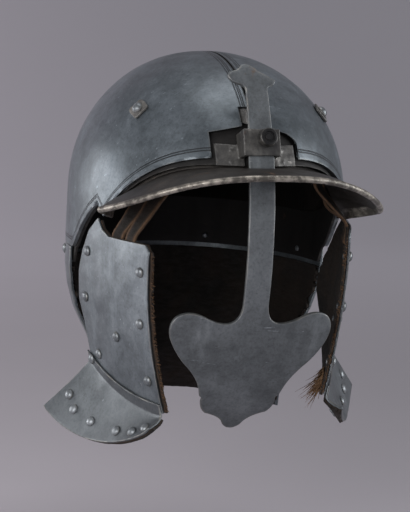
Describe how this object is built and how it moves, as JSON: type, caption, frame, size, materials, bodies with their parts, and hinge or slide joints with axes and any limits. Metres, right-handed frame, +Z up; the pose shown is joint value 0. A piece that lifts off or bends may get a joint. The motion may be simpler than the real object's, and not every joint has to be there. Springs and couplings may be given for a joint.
{
  "type": "siege_helmet",
  "caption": "Heavy siege helmet with a double riveted skull, a peak, a sliding nasal with an anchor-shaped guard and clamp, a neck guard and hinged leather-lined cheekpieces",
  "frame": {"origin": "Centre of the flat underside of the crown patch inside the skull, where the helmet rests on the top of a head", "axes": "+Z up. The wearer faces -Y, the peak points to -Y, and +X is the wearer's left side"},
  "size_m": [0.3, 0.3648, 0.3435],
  "materials": {
    "steel": "blackened, blue-grey, finely pitted, with bright worn edges",
    "inner_steel": "dark, dull, left rough from the hammer",
    "worn_steel": "blackened with brown rust patches and worn edges",
    "rivet": "dark domed heads worn bright round their rims",
    "leather": "old, dry, brown, frayed at the edges",
    "textile": "dark quilted cloth, matt"
  },
  "bodies": {
    "skull": {"inner_skull": "inner_steel", "outer_skull_left": "steel", "outer_skull_right": "steel", "peak": "worn_steel", "neck_guard": "steel", "neck_lining": "leather", "nasal_bracket": "worn_steel", "bar_rest_block": "worn_steel", "lining_cap": "textile", "crown_patch": "leather", "rosette_washer_left": "worn_steel", "rosette_rivet_left": "rivet", "rosette_washer_right": "worn_steel", "rosette_rivet_right": "rivet", "hanging_leather_left_front": "leather", "hanging_leather_left_rear": "leather", "leather_rivet_left_front": "rivet", "leather_rivet_left_rear": "rivet", "hanging_leather_right_front": "leather", "hanging_leather_right_rear": "leather", "leather_rivet_right_front": "rivet", "leather_rivet_right_rear": "rivet"},
    "nasal": {"nasal": "steel"},
    "clamp_screw": {"clamp_screw": "worn_steel"},
    "cheek_left": {"cheek_plate_left": "steel", "cheek_flare_left": "steel", "cheek_lining_left": "leather", "flare_lining_left": "leather", "cheek_rivet_left_1": "rivet", "cheek_rivet_left_2": "rivet", "cheek_rivet_left_3": "rivet", "cheek_rivet_left_4": "rivet", "cheek_rivet_left_5": "rivet", "cheek_rivet_left_6": "rivet", "cheek_rivet_left_7": "rivet", "flare_rivet_left_1": "rivet", "flare_rivet_left_2": "rivet", "flare_rivet_left_3": "rivet", "flare_rivet_left_4": "rivet", "flare_rivet_left_5": "rivet", "flare_rivet_left_6": "rivet", "flare_rivet_left_7": "rivet"},
    "cheek_right": {"cheek_plate_right": "steel", "cheek_flare_right": "steel", "cheek_lining_right": "leather", "flare_lining_right": "leather", "cheek_rivet_right_1": "rivet", "cheek_rivet_right_2": "rivet", "cheek_rivet_right_3": "rivet", "cheek_rivet_right_4": "rivet", "cheek_rivet_right_5": "rivet", "cheek_rivet_right_6": "rivet", "cheek_rivet_right_7": "rivet", "flare_rivet_right_1": "rivet", "flare_rivet_right_2": "rivet", "flare_rivet_right_3": "rivet", "flare_rivet_right_4": "rivet", "flare_rivet_right_5": "rivet", "flare_rivet_right_6": "rivet", "flare_rivet_right_7": "rivet"}
  },
  "joints": [
    {"name": "nasal_slide", "type": "hinge", "parent": "skull", "child": "nasal", "pos_m": [0, 0.117, -0.13], "axis": [-1, 0, 0], "range_deg": [-6, 18]},
    {"name": "clamp_screw_turn", "type": "hinge", "parent": "skull", "child": "clamp_screw", "pos_m": [0.0036, -0.1509, -0.0424], "axis": [0, -0.9505, 0.3107], "continuous": true},
    {"name": "cheek_left_swing", "type": "hinge", "parent": "skull", "child": "cheek_left", "pos_m": [0.1089, -0.0815, -0.121], "axis": [-0.2803, -0.9599, 0], "range_deg": [0, 45]},
    {"name": "cheek_right_swing", "type": "hinge", "parent": "skull", "child": "cheek_right", "pos_m": [-0.1089, -0.0815, -0.135], "axis": [-0.2803, 0.9599, 0], "range_deg": [0, 45]}
  ]
}
